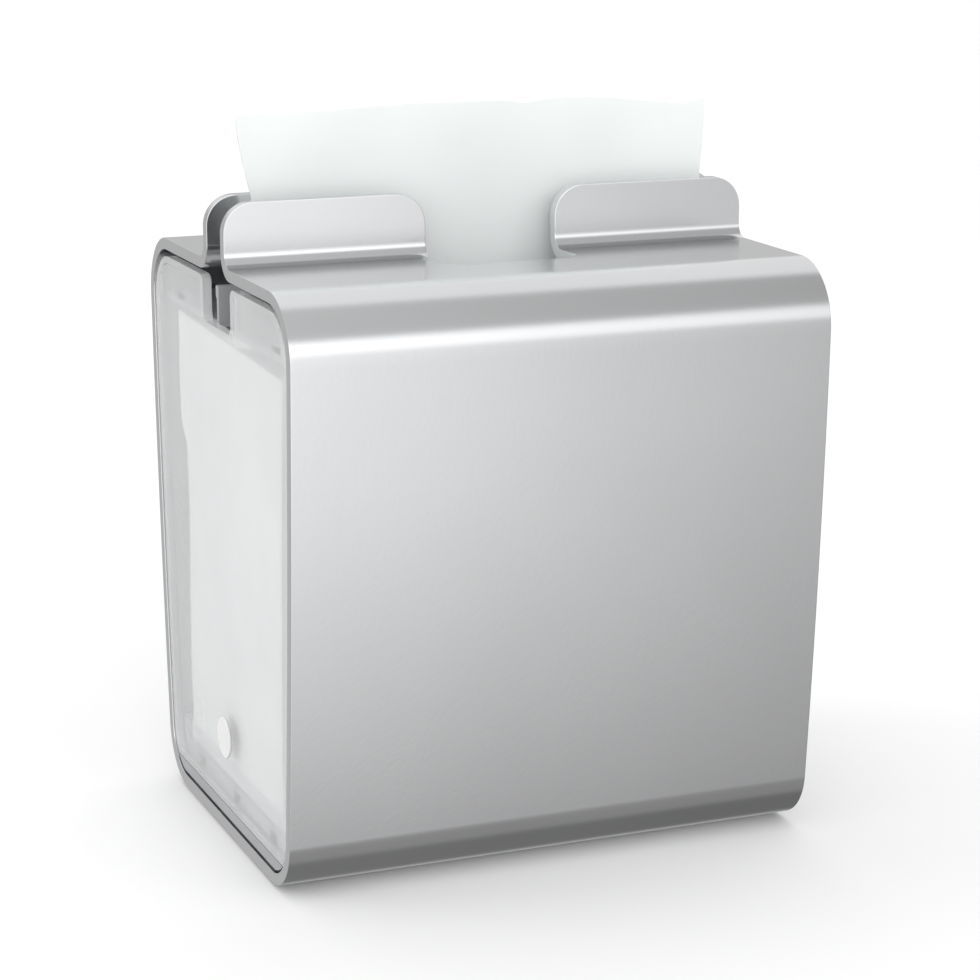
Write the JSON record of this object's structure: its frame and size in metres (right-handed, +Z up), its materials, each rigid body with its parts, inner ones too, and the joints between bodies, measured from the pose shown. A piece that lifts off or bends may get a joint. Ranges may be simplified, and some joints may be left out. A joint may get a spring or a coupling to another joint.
{
  "type": "napkin dispenser",
  "caption": "Tabletop napkin dispenser: aluminium sleeve with a slot between upright tabs, around a slide-out cassette whose sprung platform lifts interfolded napkins.",
  "frame": {"origin": "on the table, in the middle of the sleeve", "axes": "+X along the dispensing slot, to the right seen from the front; -Y out of the front face; +Z up"},
  "size_m": [0.182, 0.1552, 0.2423],
  "materials": {
    "aluminium": "fine bead-blasted and clear anodised, satin",
    "clear_plastic": "clear, lightly frosted on the inside",
    "grey_plastic": "fine spark-eroded mould texture",
    "light_plastic": "fine mould texture",
    "dark_plastic": "satin",
    "white_plastic": "satin",
    "steel": "drawn, bright",
    "rubber": "matt moulded",
    "tissue_stack": null,
    "paper": "soft two-ply tissue with a fine emboss"
  },
  "bodies": {
    "sleeve": {"outer_shell": "aluminium", "foot_front_left": "rubber", "foot_front_right": "rubber", "foot_rear_left": "rubber", "foot_rear_right": "rubber", "front_glide_strip": "white_plastic", "rear_glide_strip": "white_plastic", "stop_peg": "steel", "button_bezel": "dark_plastic"},
    "cassette": {"base_tray": "grey_plastic", "front_hold_down_plate": "grey_plastic", "rear_hold_down_plate": "grey_plastic", "left_end_panel": "clear_plastic", "right_end_panel": "clear_plastic", "blank_badge": "white_plastic", "post_front_left": "steel", "post_front_right": "steel", "post_rear_left": "steel", "post_rear_right": "steel", "post_nuts": "steel", "housing_cover": "dark_plastic", "cover_screws": "steel", "button_spring": "steel", "left_lift_spring": "steel", "right_lift_spring": "steel", "napkin_stack": "tissue_stack"},
    "lift": {"lift_platform": "light_plastic", "bush_front_left": "white_plastic", "bush_front_right": "white_plastic", "bush_rear_left": "white_plastic", "bush_rear_right": "white_plastic"},
    "button": {"release_button": "dark_plastic"},
    "leaf": {"served_napkin": "paper"}
  },
  "joints": [
    {"name": "cassette_slide", "type": "slide", "parent": "sleeve", "child": "cassette", "axis": [-1, 0, 0], "range_m": [0, 0.158]},
    {"name": "lift_travel", "type": "slide", "parent": "cassette", "child": "lift", "axis": [0, 0, 1], "range_m": [0, 0.14], "deforming": ["napkin_stack", "left_lift_spring", "right_lift_spring"]},
    {"name": "button_travel", "type": "slide", "parent": "cassette", "child": "button", "axis": [0, 0, 1], "range_m": [-0.0035, 0], "stiffness_N_per_m": 150, "springref_m": -0.012, "deforming": ["button_spring"]},
    {"name": "leaf_pull", "type": "slide", "parent": "cassette", "child": "leaf", "axis": [0, 0, 1], "range_m": [0, 0.1]}
  ]
}
